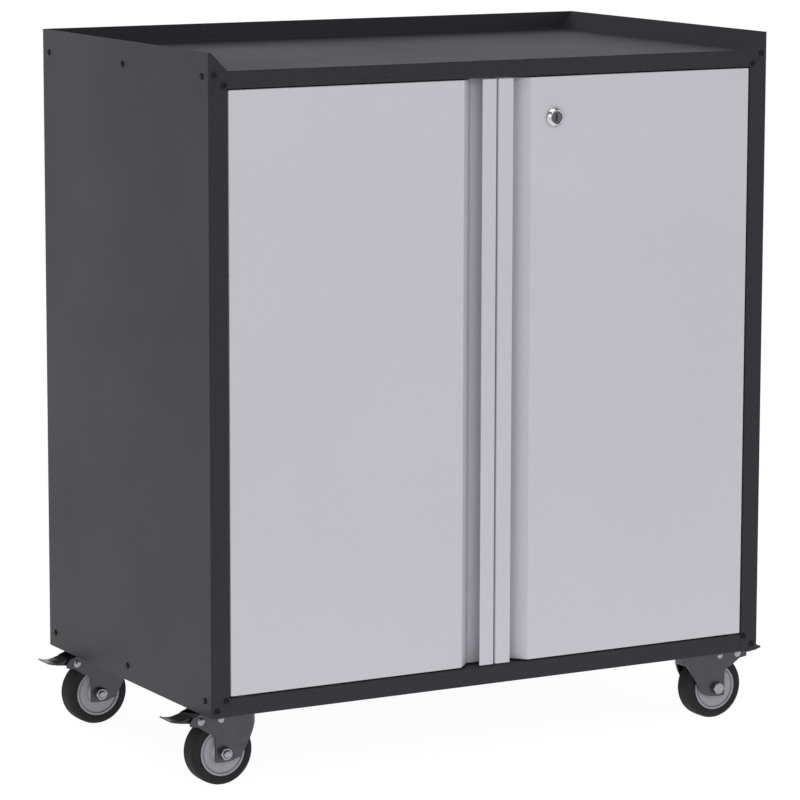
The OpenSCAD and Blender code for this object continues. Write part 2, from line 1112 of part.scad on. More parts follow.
module caster_tyre() {
    half = wheel_w / 2;
    shoulder = 4;
    color(rubber_grey)
        at_axle()
            rotate([90, 0, 0])
                rotate_extrude($fn = 96)
                    polygon(concat(
                        [[hub_r, -half], [hub_r + 1, -half]],
                        [for (a = [0 : 18 : 90]) [
                            wheel_r - shoulder + shoulder * sin(a),
                            -half + shoulder - shoulder * cos(a)
                        ]],
                        [for (a = [90 : -18 : 0]) [
                            wheel_r - shoulder + shoulder * sin(a),
                            half - shoulder + shoulder * cos(a)
                        ]],
                        [[hub_r + 1, half], [hub_r, half]]
                    ));
}

// Bolt through both legs and the hub, with its nut
module caster_axle() {
    color(zinc)
        at_axle() {
            rod_y(axle_r, -fork_y - 0.1, fork_y + hex_h + 2.5);
            translate([0, -fork_y, 0])
                rotate([90, 0, 0])
                    hexagon(hex_flats, bolt_head_h);
            difference() {
                translate([0, fork_y + hex_h, 0])
                    rotate([90, 0, 0])
                        hexagon(hex_flats, hex_h);
                rod_y(axle_r + 0.05, 0, 2 * fork_y);
            }
        }
}

// Line of the pedal's top about the axle, from its heel to its upturned tip
pedal_line = [[21.5, 41], [24, 43.4], [30, 44], [41, 43], [47, 41.2], [52, 40.2], [58, 40.8], [64, 42.5]];

module caster_pedal() {
    heel = [[21.5, 34], [27, 32.6], [34, 34], [41, 36.6], [53, 38], [58, 39.2]];
    color(black)
        at_axle()
            difference() {
                union() {
                    along_y(-pedal_w / 2, pedal_w / 2)
                        polygon(concat(
                            pedal_line,
                            reversed([for (p = pedal_line) p - [0, pedal_t]])
                        ));
                    for (side = [-1, 1])
                        along_y(
                            side * (pedal_w / 2 - pedal_t / 2) - pedal_t / 2,
                            side * (pedal_w / 2 - pedal_t / 2) + pedal_t / 2
                        )
                            polygon(concat(heel, reversed([for (i = [0 : 6]) pedal_line[i]])));
                    brake_shoe();
                }
                translate([brake_pin[0], 0, brake_pin[1]])
                    rod_y(brake_pin_r + 0.08, -fork_y, fork_y);
            }
}

// Lobe on the pedal's pivot that turns down to the tyre as the pedal is pressed
module brake_shoe() {
    tip_r = 2.2;
    tip_x = norm(brake_pin) - wheel_r - brake_gap - tip_r;
    towards_axle = atan2(-brake_pin[1], -brake_pin[0]);
    translate([brake_pin[0], 0, brake_pin[1]])
        along_y(-8, 8)
            union() {
                circle(5);
                rotate(towards_axle + brake_travel) {
                    translate([0, -tip_r])
                        square([tip_x, 2 * tip_r]);
                    translate([tip_x, 0])
                        circle(tip_r);
                }
            }
}

// Pivot rivet of the pedal and the two studs beside it
module caster_rivets() {
    color(zinc)
        at_axle() {
            translate([brake_pin[0], 0, brake_pin[1]]) {
                rod_y(brake_pin_r, -fork_y - 0.1, fork_y + 0.1);
                rod_y(4.5, -fork_y - 1.6, -fork_y);
                rod_y(4.5, fork_y, fork_y + 1.6);
            }
            translate([stud[0], 0, stud[1]])
                for (side = [-1, 1])
                    on_front(side) {
                        rod_y(2, -fork_y - 0.1, -fork_gap / 2 + 0.1);
                        rod_y(3.8, -fork_y - 1.6, -fork_y);
                        rod_y(3, -fork_gap / 2, -fork_gap / 2 + 1);
                    }
        }
}

module on_front(side) {
    if (side > 0)
        children();
    else
        mirror([0, 1, 0])
            children();
}

module caster_part(part) {
    if (part == "fork") caster_fork();
    if (part == "hub") caster_hub();
    if (part == "tyre") caster_tyre();
    if (part == "axle") caster_axle();
    if (part == "pedal") caster_pedal();
    if (part == "rivets") caster_rivets();
}

// ---------------------------------------------------------------- nodes

left_side_panel();
right_side_panel();
back_panel();
worktop();
base_pan();
for (u = UPRIGHTS) placed_upright(u);
shelf();
shelf_clips();
side_screws();
post_screws();
back_screws();
hinge_bushes();
magnet_catches();
door_stops();
left_door_skin();
left_door_back();
left_hinge_pins();
left_strike();
right_door_skin();
right_door_back();
right_hinge_pins();
right_strike();
lock_body();
lock_nut();
lock_plug();
lock_cam();
lock_cam_screw();
caster_plates();
caster_bolts();
caster_nuts();
caster_kingpins();
caster_balls();
for (c = CASTERS)
    for (p = CASTER_PARTS)
        at_caster(c) caster_part(p);
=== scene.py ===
"""Looks of a rolling steel storage cabinet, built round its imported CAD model. Units are metres."""

import json
import math

import bmesh
import bpy
from mathutils import Matrix, Vector


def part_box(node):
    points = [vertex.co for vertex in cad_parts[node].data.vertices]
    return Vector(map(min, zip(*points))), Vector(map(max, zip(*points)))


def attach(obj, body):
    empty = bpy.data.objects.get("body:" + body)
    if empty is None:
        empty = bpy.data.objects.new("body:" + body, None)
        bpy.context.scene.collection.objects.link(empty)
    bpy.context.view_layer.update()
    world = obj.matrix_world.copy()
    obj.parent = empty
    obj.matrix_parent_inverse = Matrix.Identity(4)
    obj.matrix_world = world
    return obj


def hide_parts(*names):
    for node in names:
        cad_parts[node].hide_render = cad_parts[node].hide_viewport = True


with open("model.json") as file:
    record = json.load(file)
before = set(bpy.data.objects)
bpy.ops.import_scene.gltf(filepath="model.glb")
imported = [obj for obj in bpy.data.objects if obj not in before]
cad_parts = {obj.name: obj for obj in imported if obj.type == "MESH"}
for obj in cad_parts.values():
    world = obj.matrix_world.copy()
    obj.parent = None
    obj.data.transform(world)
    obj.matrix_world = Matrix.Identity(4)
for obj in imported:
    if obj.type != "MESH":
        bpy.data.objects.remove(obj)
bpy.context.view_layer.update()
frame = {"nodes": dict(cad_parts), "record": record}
NODES = frame["nodes"]
MM = 0.001

# ---------------------------------------------------------------- sizes read from the frame

side_low, side_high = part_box("right_side_panel")
pan_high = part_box("base_pan")[1]
top_low, top_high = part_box("worktop")
skin_low, skin_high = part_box("right_door_skin")
shelf_low, shelf_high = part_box("shelf")
MOUNTS = {m["name"]: Vector(m["pos_m"]) for m in frame["record"]["mounts"]}

SHEET = 1 * MM                       # thickness of the folded steel
BEND = 1.2 * MM                      # radius of a bend, on the face that a path follows
BEND_STEPS = 6
WELD = 0.001 * MM                    # points closer than this are one point
CUT_EDGE = 0.25 * MM                 # rounding of the sheet's cut edges
SHARP_ANGLE = 40                     # degrees, edges that turn more than this are rounded
REFINED_ANGLE = 35                   # the same, for shapes taken over from the CAD model
SIDE_X = side_high.x
FRONT_Y = side_low.y
BACK_Y = side_high.y
BASE_Z = side_low.z
RIM_Z = side_high.z
POST_W = side_high.x - side_low.x
PAN_Z = pan_high.z
RAIL_Z = top_low.z
DECK_Z = MOUNTS["worktop_surface"].z
FOLD_X = top_high.x                  # folded edges against the side panels
RAIL_X = SIDE_X - POST_W - 0.2 * MM  # ends of the front rails
WHEELS = {"front_left": -1, "front_right": 1, "rear_left": -1, "rear_right": 1}

# ---------------------------------------------------------------- camera

CAMERA_PLACE = Vector((-2.2357, -3.9684, 1.1144))
CAMERA_AZIMUTH = math.radians(-29.351)
CAMERA_ELEVATION = math.radians(9.176)
CAMERA_ROLL = math.radians(0.141)
CAMERA_LENS = 179.28                 # millimetres, on the sensor below
CAMERA_SENSOR = 36
CAMERA_REACH = 100                   # farthest distance that is drawn


def make_camera():
    """Long-lens camera in front of the cabinet's left corner."""
    back = Vector((
        math.sin(CAMERA_AZIMUTH) * math.cos(CAMERA_ELEVATION),
        -math.cos(CAMERA_AZIMUTH) * math.cos(CAMERA_ELEVATION),
        math.sin(CAMERA_ELEVATION),
    ))
    right = (-back).cross(Vector((0, 0, 1))).normalized()
    up = right.cross(-back)
    level = Matrix((right, up, back)).transposed()
    data = bpy.data.cameras.new("camera")
    data.lens = CAMERA_LENS
    data.sensor_width = CAMERA_SENSOR
    data.clip_end = CAMERA_REACH
    camera = bpy.data.objects.new("camera", data)
    turned = level @ Matrix.Rotation(CAMERA_ROLL, 3, "Z")
    camera.matrix_world = Matrix.Translation(CAMERA_PLACE) @ turned.to_4x4()
    bpy.context.scene.collection.objects.link(camera)
    bpy.context.scene.camera = camera


# ---------------------------------------------------------------- materials


class Shader:
    """A Principled material with helpers for its procedural texture nodes."""

    def __init__(self, name, **values):
        self.material = bpy.data.materials.new(name)
        self.material.use_nodes = True
        self.tree = self.material.node_tree
        self.base = self.tree.nodes["Principled BSDF"]
        for socket, value in values.items():
            self.base.inputs[socket.replace("_", " ")].default_value = value
        self.place = self.tree.nodes.new("ShaderNodeTexCoord").outputs["Object"]

    def node(self, kind, inputs=None, **settings):
        """A new node with its settings, and its inputs set or linked."""
        made = self.tree.nodes.new(kind)
        for name, value in settings.items():
            setattr(made, name, value)
        for name, value in (inputs or {}).items():
            self.feed(made.inputs[name], value)
        return made

    def feed(self, socket, value):
        """Links another node's output into a socket, or sets the socket's own value."""
        if isinstance(value, bpy.types.NodeSocket):
            self.tree.links.new(value, socket)
        else:
            socket.default_value = value

    def noise(self, scale, detail=2.0, roughness=0.5, stretch=None):
        """Noise whose grains are about 1 / scale metres across."""
        place = self.place
        if stretch:
            place = self.node("ShaderNodeMapping", {"Vector": place, "Scale": stretch}).outputs[0]
        inputs = {"Vector": place, "Scale": scale, "Detail": detail, "Roughness": roughness}
        return self.node("ShaderNodeTexNoise", inputs).outputs["Fac"]

    def between(self, factor, low, high, start=0.3, end=0.7):
        """A number that runs from low to high as factor runs from start to end."""
        inputs = {"Value": factor, "From Min": start, "From Max": end, "To Min": low, "To Max": high}
        return self.node("ShaderNodeMapRange", inputs).outputs["Result"]

    def blend(self, factor, first, second):
        """A colour that runs from first to second as factor runs from 0 to 1."""
        made = self.node("ShaderNodeMix", data_type="RGBA", blend_type="MIX")
        for name, value in (("Factor_Float", factor), ("A_Color", first), ("B_Color", second)):
            socket = next(s for s in made.inputs if s.identifier == name)
            self.feed(socket, value)
        return next(s for s in made.outputs if s.identifier == "Result_Color")

    def bump(self, height, depth, strength, under=None):
        """Surface relief of a depth in metres, over another relief if one is given."""
        inputs = {"Height": height, "Distance": depth, "Strength": strength}
        if under:
            inputs["Normal"] = under
        return self.node("ShaderNodeBump", inputs).outputs["Normal"]

    def finish(self, **links):
        """Feeds the shader's sockets, named with _ for spaces, and gives the material."""
        for socket, value in links.items():
            self.feed(self.base.inputs[socket.replace("_", " ")], value)
        return self.material


def tone(colour, factor):
    """The colour made lighter or darker, as a socket value."""
    return tuple(c * factor for c in colour) + (1.0,)


def powder_coat(name, colour, roughness, grain, relief, contrast, **values):
    """Baked powder paint: fine raised grain over soft orange peel, with faint cloudy patches."""
    s = Shader(name, **values)
    fine = s.noise(grain, 3.0, 0.6)
    peel = s.noise(grain / 4, 1.0)
    cloud = s.noise(5.0, 3.0)
    grained = s.blend(s.between(fine, 0, 1), tone(colour, 1 - contrast), tone(colour, 1 + contrast))
    patched = s.blend(s.between(cloud, 0, 0.25), grained, tone(colour, 1.1))
    normal = s.bump(peel, 0.08 * MM, 0.25)
    return s.finish(
        Base_Color=patched,
        Roughness=s.between(cloud, roughness - 0.04, roughness + 0.04),
        Normal=s.bump(fine, relief, 0.6, normal),
    )


def plated(name, colour, roughness, relief=0.02 * MM):
    """Zinc or nickel plate: metal with fine tumbled scratches and slightly cloudy lustre."""
    s = Shader(name, Metallic=1.0)
    cloud = s.noise(120.0, 2.0)
    scratch = s.noise(900.0, 2.0, 0.6, stretch=(1.0, 1.0, 0.15))
    return s.finish(
        Base_Color=s.blend(s.between(cloud, 0, 1), tone(colour, 0.86), tone(colour, 1.06)),
        Roughness=s.between(cloud, roughness - 0.06, roughness + 0.08),
        Normal=s.bump(scratch, relief, 0.5),
    )


def moulded(name, colour, roughness, grain=1500.0, relief=0.02 * MM, contrast=0.08, **values):
    """Injection moulded plastic or rubber with a fine spark-eroded grain and handling marks."""
    s = Shader(name, **values)
    fine = s.noise(grain, 2.0)
    cloud = s.noise(60.0, 4.0, 0.6)
    return s.finish(
        Base_Color=s.blend(
            s.between(cloud, 0, 1), tone(colour, 1 - contrast), tone(colour, 1 + contrast)
        ),
        Roughness=s.between(cloud, roughness - 0.06, roughness + 0.06),
        Normal=s.bump(fine, relief, 0.5),
    )


def make_materials():
    """One material for each slot of the record: name, colour, roughness, then grain and relief."""
    return {
        "body_paint": powder_coat(
            "charcoal_powder_coat", (0.0275, 0.0264, 0.0312), 0.42, 520.0, 0.10 * MM, 0.3,
            IOR=1.30, Specular_Tint=(0.98, 0.94, 1.0, 1.0),
        ),
        "door_paint": powder_coat(
            "pale_grey_powder_coat", (0.590, 0.583, 0.618), 0.38, 520.0, 0.06 * MM, 0.04, IOR=1.45
        ),
        "zinc": plated("bright_zinc", (0.34, 0.34, 0.37), 0.14),
        "black_screw": powder_coat(
            "black_zinc", (0.005, 0.005, 0.006), 0.30, 1500.0, 0.02 * MM, 0.15, IOR=1.33
        ),
        "nylon": moulded("black_nylon", (0.016, 0.016, 0.017), 0.45),
        "black_plastic": moulded("black_moulding", (0.014, 0.014, 0.015), 0.45),
        "buffer_rubber": moulded("buffer_rubber", (0.018, 0.018, 0.019), 0.7),
        "lock_chrome": plated("polished_chrome", (0.68, 0.69, 0.71), 0.12, 0.005 * MM),
        "lock_core_metal": plated("dark_nickel", (0.17, 0.17, 0.18), 0.30),
        "fork_metal": plated("dark_zinc", (0.092, 0.089, 0.100), 0.36, 0.08 * MM),
        "hub_plastic": moulded("pale_grey_moulding", (0.31, 0.305, 0.33), 0.36),
        "tyre_rubber": moulded(
            "dark_grey_rubber", (0.0190, 0.0187, 0.0200), 0.80, 900.0, 0.05 * MM, 0.2, IOR=1.32
        ),
        "pedal_metal": powder_coat(
            "black_gloss_paint", (0.010, 0.010, 0.011), 0.16, 900.0, 0.02 * MM, 0.15
        ),
    }


# ---------------------------------------------------------------- mesh tools

# A section's two axes and its length, for a part drawn along X, Y or Z
ALONG_X = Matrix(((0, 0, 1), (1, 0, 0), (0, 1, 0)))
ALONG_Y = Matrix(((1, 0, 0), (0, 0, 1), (0, 1, 0)))
ALONG_Z = Matrix.Identity(3)


def rounded(path, radius=BEND, steps=BEND_STEPS):
    """The path with each of its corners turned into an arc. A point on a straight stretch stays."""
    path = [Vector(p) for p in path]
    line = [path[0]]
    for before, corner, after in zip(path, path[1:], path[2:]):
        back = (before - corner).normalized()
        ahead = (after - corner).normalized()
        if back.dot(ahead) < -0.9999:
            line.append(corner)
            continue
        half = math.acos(back.dot(ahead)) / 2
        centre = corner + (back + ahead).normalized() * radius / math.sin(half)
        first = corner + back * radius / math.tan(half) - centre
        side = back.y * ahead.x - back.x * ahead.y
        turn = math.copysign(math.pi - 2 * half, side)
        for step in range(steps + 1):
            line.append(centre + Matrix.Rotation(turn * step / steps, 2) @ first)
    line.append(path[-1])
    return line


def ribbon(bm, path, levels, axes, keep=None, flat=None):
    """Adds the visible face of a bent sheet: a path in the section plane, drawn between levels.

    The sheet's thickness will lie to the right of the path. A level is a number or a function of
    the point. keep(point, row) picks the cells that stay, and flat(point, row) moves a row's points.
    """
    line = rounded(path)
    grid = []
    for point in line:
        column = []
        for row, level in enumerate(levels):
            at = flat(point, row) if flat else point
            height = level(point) if callable(level) else level
            column.append(bm.verts.new(axes @ Vector((at.x, at.y, height))))
        grid.append(column)
    for i in range(len(line) - 1):
        if (line[i] - line[i + 1]).length < WELD:
            continue
        middle = (line[i] + line[i + 1]) / 2
        for row in range(len(levels) - 1):
            if keep and not keep(middle, row):
                continue
            corners = [grid[i][row], grid[i][row + 1], grid[i + 1][row + 1], grid[i + 1][row]]
            if axes.determinant() < 0:
                corners.reverse()
            bm.faces.new(corners)


def lathe(bm, profile, place=Matrix.Identity(4), steps=48, closed=False):
    """Turns (radius, height) pairs about the local Z axis. Either may be a function of the angle."""
    rings = []
    for radius, height in profile:
        ring = []
        for step in range(steps):
            angle = 2 * math.pi * step / steps
            r = radius(angle) if callable(radius) else radius
            h = height(angle) if callable(height) else height
            ring.append(bm.verts.new(place @ Vector((r * math.cos(angle), r * math.sin(angle), h))))
        rings.append(ring)
    pairs = list(zip(rings, rings[1:]))
    if closed:
        pairs.append((rings[-1], rings[0]))
    for lower, upper in pairs:
        for k in range(steps):
            after = (k + 1) % steps
            bm.faces.new((lower[k], lower[after], upper[after], upper[k]))
    if not closed:
        bm.faces.new(list(reversed(rings[0])))
        bm.faces.new(rings[-1])


def hexagon(bm, place, flats, height, hole=0.0):
    """Hexagon bolt head or nut whose top corners are cut by a cone."""
    inscribed = flats / 2

    def across(angle):
        return inscribed / math.cos(angle % (math.pi / 3) - math.pi / 6)

    def shoulder(angle):
        return height - (across(angle) - inscribed * 0.95) * math.tan(math.radians(30))

    def foot(angle):
        return (across(angle) - inscribed * 0.99) * math.tan(math.radians(30))

    outside = [(inscribed * 0.95, 0.0), (across, foot), (across, shoulder), (inscribed * 0.93, height)]
    if hole:
        lip = 0.6 * MM
        inside = [(hole + lip, height), (hole, height - lip), (hole, lip), (hole + lip, 0.0)]
        lathe(bm, outside + inside, place, closed=True)
    else:
        crown = [(inscribed * 0.6, height + 0.15 * MM), (inscribed * 0.2, height + 0.2 * MM)]
        lathe(bm, outside + crown, place)


def mirror_x(bm):
    """Turns a part of the right side into its left counterpart."""
    for vert in bm.verts:
        vert.co.x = -vert.co.x
    bmesh.ops.reverse_faces(bm, faces=bm.faces)


def tidy(bm):
    """Joins edges that meet and deletes points that no face uses."""
    bmesh.ops.remove_doubles(bm, verts=bm.verts, dist=0.002 * MM)
    loose = [v for v in bm.verts if not v.link_faces]
    bmesh.ops.delete(bm, geom=loose, context="VERTS")


def piece(name, bm, body, slot, nodes, sheet=0.0, edge=CUT_EDGE, segments=2, angle=SHARP_ANGLE):
    """Makes the finished object: thickness, rounded edges, smooth shading, material, its body, and its
    CAD nodes hidden.
    """
    mesh = bpy.data.meshes.new(name)
    bm.to_mesh(mesh)
    bm.free()
    mesh.shade_smooth()
    obj = bpy.data.objects.new(name, mesh)
    bpy.context.scene.collection.objects.link(obj)
    if sheet:
        solid = obj.modifiers.new("thickness", "SOLIDIFY")
        solid.thickness = sheet
        solid.offset = -1
        solid.use_even_offset = True
    soften(obj, edge, segments, angle)
    mesh.materials.append(MATERIALS[slot])
    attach(obj, body)
    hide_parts(*nodes)
    return obj


def soften(obj, edge, segments, angle):
    """Rounds an object's sharp edges and keeps its flat faces flat in the shading."""
    if edge:
        bevel = obj.modifiers.new("rounded_edges", "BEVEL")
        bevel.width = edge
        bevel.segments = segments
        bevel.limit_method = "ANGLE"
        bevel.angle_limit = math.radians(angle)
    obj.modifiers.new("even_shading", "WEIGHTED_NORMAL")


def islands(node):
    """Boxes of the separate solids in a CAD node, as (lowest corner, highest corner)."""
    bm = bmesh.new()
    bm.from_mesh(NODES[node].data)
    bmesh.ops.remove_doubles(bm, verts=bm.verts, dist=WELD)
    boxes = []
    seen = set()
    for start in bm.verts:
        if start in seen:
            continue
        stack = [start]
        seen.add(start)
        points = []
        while stack:
            vert = stack.pop()
            points.append(vert.co.copy())
            for edge in vert.link_edges:
                other = edge.other_vert(vert)
                if other not in seen:
                    seen.add(other)
                    stack.append(other)
        low = Vector(min(p[i] for p in points) for i in range(3))
        high = Vector(max(p[i] for p in points) for i in range(3))
        boxes.append((low, high))
    bm.free()
    return boxes


def refined(name, node, body, slot, edge, segments=2):
    """A CAD node's own shape with its edges rounded."""
    bm = bmesh.new()
    bm.from_mesh(NODES[node].data)
    bmesh.ops.remove_doubles(bm, verts=bm.verts, dist=WELD)
    bmesh.ops.dissolve_limit(bm, angle_limit=math.radians(1), verts=bm.verts, edges=bm.edges)
    return piece(name, bm, body, slot, [node], edge=edge, segments=segments, angle=REFINED_ANGLE)


# ---------------------------------------------------------------- body

RETURN_D = 14 * MM                   # depth of the posts' returns
TAB_START = 9.5 * MM                 # how far a screw tab reaches past the post
TAB_W = 29 * MM
SKIRT_H = 14 * MM                    # edge of the worktop folded down inside the side panels


def make_side_panel(side):
    """Wall, front post with its return, and rear flange, folded from one sheet."""
    flange_x = SIDE_X - 15 * MM
    post_x = SIDE_X - POST_W
    knee_x = SIDE_X - 2.8 * MM       # where the post's top starts to slope
    low_z, high_z = PAN_Z + 0.5 * MM, RAIL_Z - 0.5 * MM

    def top(point):
        on_post = point.y < 0 and point.x < knee_x
        return RIM_Z - (knee_x - point.x) if on_post else RIM_Z

    def is_return(point):
        return point.x < post_x + BEND and point.y < 0

    def flat(point, row):
        beside_opening = row in (2, 3)
        return point if beside_opening or not is_return(point) else Vector((point.x, FRONT_Y))

    def keep(point, row):
        if row in (1, 3):
            return not is_return(point)
        if row == 2:
            return True
        if is_return(point):
            return point.y < FRONT_Y + BEND
        on_flange = point.y > BACK_Y - BEND / 2 and point.x < SIDE_X - BEND
        return row != 5 or not on_flange

    path = [
        (flange_x, BACK_Y),
        (SIDE_X, BACK_Y),
        (SIDE_X, FRONT_Y),
        (knee_x, FRONT_Y),
        (post_x, FRONT_Y),
        (post_x, FRONT_Y + RETURN_D),
    ]
    levels = [BASE_Z, low_z, low_z, high_z, high_z, DECK_Z - SHEET, top]
    bm = bmesh.new()
    ribbon(bm, path, levels, ALONG_Z, keep, flat)
    tidy(bm)
    if side < 0:
        mirror_x(bm)
    name = "left_side_panel" if side < 0 else "right_side_panel"
    piece(name + "_sheet", bm, "cabinet", "body_paint", [name], sheet=SHEET)


def add_post_tabs(bm, low_z, high_z):
    """Screw tabs behind the two front posts."""
    start = SIDE_X - POST_W - TAB_START
    for low_x, high_x in ((start, start + TAB_W), (-start - TAB_W, -start)):
        ribbon(bm, [(high_x, FRONT_Y + SHEET), (low_x, FRONT_Y + SHEET)], [low_z, high_z], ALONG_Z)


def make_worktop():
    """Deck with slanted side rims, front rail with its return and lip, and rear splash."""
    rim = RIM_Z - DECK_Z + 1.6 * MM  # height at which the slanted rim would end without its bend
    deck_x = FOLD_X - rim
    flat_x = deck_x - BEND * math.tan(math.radians(22.5))
    splash_x = FOLD_X - 0.3 * MM
    splash_y = BACK_Y - SHEET
    bm = bmesh.new()

    right = [(deck_x, DECK_Z), (FOLD_X, DECK_Z + rim), (FOLD_X, DECK_Z - SKIRT_H)]
    left = [(-x, z) for x, z in reversed(right)]
    rows = [FRONT_Y + SHEET, FRONT_Y + BEND, splash_y - BEND, splash_y - 0.1 * MM]
    ribbon(bm, left + right, rows, ALONG_Y, lambda p, row: row == 1 or abs(p.x) > flat_x)

    rail_y = FRONT_Y + 22 * MM
    rail = [
        (rail_y, RAIL_Z + 10 * MM),
        (rail_y, RAIL_Z),
        (FRONT_Y, RAIL_Z),
        (FRONT_Y, DECK_Z),
        (FRONT_Y + BEND, DECK_Z),
    ]
    ribbon(bm, rail, [-RAIL_X, -flat_x, flat_x, RAIL_X], ALONG_X)

    def splash_end(point, row):
        if row in (2, 3):
            return point
        return Vector((splash_y, point.y if point.y > DECK_Z else DECK_Z - SHEET))

    splash = [(splash_y - BEND, DECK_Z), (splash_y, DECK_Z), (splash_y, RIM_Z)]
    rows = [-splash_x, -flat_x, -flat_x, flat_x, flat_x, splash_x]
    ribbon(bm, splash, rows, ALONG_X, lambda p, row: row in (0, 2, 4), splash_end)

    add_post_tabs(bm, RAIL_Z + 0.3 * MM, DECK_Z - SHEET)
    tidy(bm)
    piece("worktop_sheet", bm, "cabinet", "body_paint", ["worktop"], sheet=SHEET)


def make_base_pan():
    """Cabinet floor with the bottom rail and edges folded down on the other three sides."""
    seam_y = FRONT_Y + RETURN_D + SHEET
    ledge_y = FRONT_Y + 2 * SHEET
    rear_y = BACK_Y - 2 * SHEET
    low_z = BASE_Z + 3 * MM
    flat_x = FOLD_X - BEND
    bm = bmesh.new()
    front = [
        (FRONT_Y + 13 * MM, BASE_Z),
        (FRONT_Y, BASE_Z),
        (FRONT_Y, PAN_Z),
        (ledge_y, PAN_Z),
        (seam_y, PAN_Z),
    ]
    ribbon(bm, front, [-RAIL_X, RAIL_X], ALONG_X)
    across = [
        (-FOLD_X, low_z),
        (-FOLD_X, PAN_Z),
        (-RAIL_X, PAN_Z),
        (RAIL_X, PAN_Z),
        (FOLD_X, PAN_Z),
        (FOLD_X, low_z),
    ]
    rows = [ledge_y, seam_y, rear_y - BEND]
    ribbon(bm, across, rows, ALONG_Y, lambda p, row: row == 1 or abs(p.x) > RAIL_X)
    rear = [(rear_y - BEND, PAN_Z), (rear_y, PAN_Z), (rear_y, low_z)]
    ribbon(bm, rear, [-flat_x, -RAIL_X, RAIL_X, flat_x], ALONG_X)
    add_post_tabs(bm, low_z, PAN_Z - SHEET)
    tidy(bm)
    piece("base_pan_sheet", bm, "cabinet", "body_paint", ["base_pan"], sheet=SHEET)


def make_back_panel():
    """Back sheet with its upper edge folded in under the worktop."""
    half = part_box("back_panel")[1].x
    rear_y = BACK_Y - SHEET
    path = [(BACK_Y - 14 * MM, DECK_Z - SHEET), (rear_y, DECK_Z - SHEET), (rear_y, BASE_Z + 2 * MM)]
    bm = bmesh.new()
    ribbon(bm, path, [-half, half], ALONG_X)
    tidy(bm)
    piece("back_panel_sheet", bm, "cabinet", "body_paint", ["back_panel"], sheet=SHEET)


def make_shelf():
    """Shelf with four folded edges, the front one returned."""
    z = shelf_high.z
    front_y, rear_y = shelf_low.y, shelf_high.y
    half = shelf_high.x
    flat_x = half - BEND
    notch_y = front_y + 4 * MM
    edge_z, skirt_z = shelf_low.z, z - 20 * MM
    bm = bmesh.new()
    along = [
        (front_y + 12 * MM, edge_z),
        (front_y, edge_z),
        (front_y, z),
        (notch_y, z),
        (rear_y, z),
        (rear_y, skirt_z),
    ]
    ribbon(bm, along, [-flat_x, flat_x], ALONG_X)
    right = [(flat_x, z), (half, z), (half, skirt_z)]
    left = [(-x, height) for x, height in reversed(right)]
    for path in (left, right):
        ribbon(bm, path, [notch_y, rear_y - BEND], ALONG_Y)
    tidy(bm)
    piece("shelf_sheet", bm, "cabinet", "body_paint", ["shelf"], sheet=SHEET)


# ---------------------------------------------------------------- doors

PULL_W = 42 * MM                     # from the meeting edge to the flat of the door
PULL_D = 18 * MM                     # depth of the finger channel
STRIP_W = 18.5 * MM                  # strip that the fingers hook behind
LID_BEND = 0.9 * MM                  # rounding where the face turns into its end lids

RIB_SHARES = (0.35, 0.68)            # middles of the ribs across the door's width
RIB_HALF_W = 15 * MM
RIB_CORNER = 14.9 * MM
RIB_FOOT = 60 * MM                   # from the door's lower edge to the ribs
RIB_HEAD = 90 * MM                   # from the ribs to the door's upper edge
RIB_SECTION = ((0.0, 0.0), (0.8, 0.25), (2.2, 2.0), (3.6, 4.2), (4.6, 5.0), (6.0, 5.2))  # inset, depth


def make_door_skin(side):
    """Hinge edge, face, finger channel and hooked strip, with lids folded in at both ends."""
    outer_x, inner_x = skin_high.x, skin_low.x
    low_z, high_z = skin_low.z, skin_high.z
    rear_y = skin_high.y
    flat_x = inner_x + PULL_W
    floor_y = FRONT_Y + PULL_D
    foot_x = flat_x - PULL_D
    line = rounded([
        (outer_x, rear_y),
        (outer_x, FRONT_Y),
        (flat_x, FRONT_Y),
        (foot_x, floor_y),
        (inner_x + SHEET, floor_y),
        (inner_x + SHEET, FRONT_Y + SHEET),
        (inner_x + STRIP_W, FRONT_Y + SHEET),
    ])
    bm = bmesh.new()
    low, high = [[bm.verts.new((p.x, p.y, z)) for p in line] for z in (low_z, high_z)]
    for i in range(len(line) - 1):
        bm.faces.new((low[i], low[i + 1], high[i + 1], high[i]))
    foot = next(i for i, p in enumerate(line) if p.x < flat_x and p.y > floor_y - WELD)
    lid_edges = []
    for row, z, top in ((low, low_z, False), (high, high_z, True)):
        corner = bm.verts.new((line[foot].x, rear_y, z))
        ring = row[:foot + 1] + [corner]
        bm.faces.new(ring if top else list(reversed(ring)))
        lid_edges += [bm.edges.get((row[i], row[i + 1])) for i in range(foot)]
    bmesh.ops.reverse_faces(bm, faces=bm.faces)
    bmesh.ops.bevel(
        bm, geom=lid_edges, offset=LID_BEND, segments=3, profile=0.5,
        affect="EDGES", clamp_overlap=False,
    )
    if side < 0:
        mirror_x(bm)
    name = "left_door" if side < 0 else "right_door"
    piece(name + "_face", bm, name, "door_paint", [name + "_skin"], sheet=SHEET)


def rounded_rectangle(low, high, radius, steps=5):
    """Closed outline of a rectangle with round corners, as 2D points."""
    x0, y0, x1, y1 = low[0], low[1], high[0], high[1]
    centres = [
        (x1 - radius, y1 - radius),
        (x0 + radius, y1 - radius),
        (x0 + radius, y0 + radius),
        (x1 - radius, y0 + radius),
    ]
    points = []
    for quarter, (x, y) in enumerate(centres):
        for step in range(steps + 1):
            angle = math.pi / 2 * (quarter + step / steps)
            points.append((x + radius * math.cos(angle), y + radius * math.sin(angle)))
    return points


def add_loop(bm, points, y):
    """A closed ring of points in a plane of constant y, with its edges."""
    ring = [bm.verts.new((x, y, z)) for x, z in points]
    edges = [bm.edges.new((ring[i - 1], ring[i])) for i in range(len(ring))]
    return ring, edges


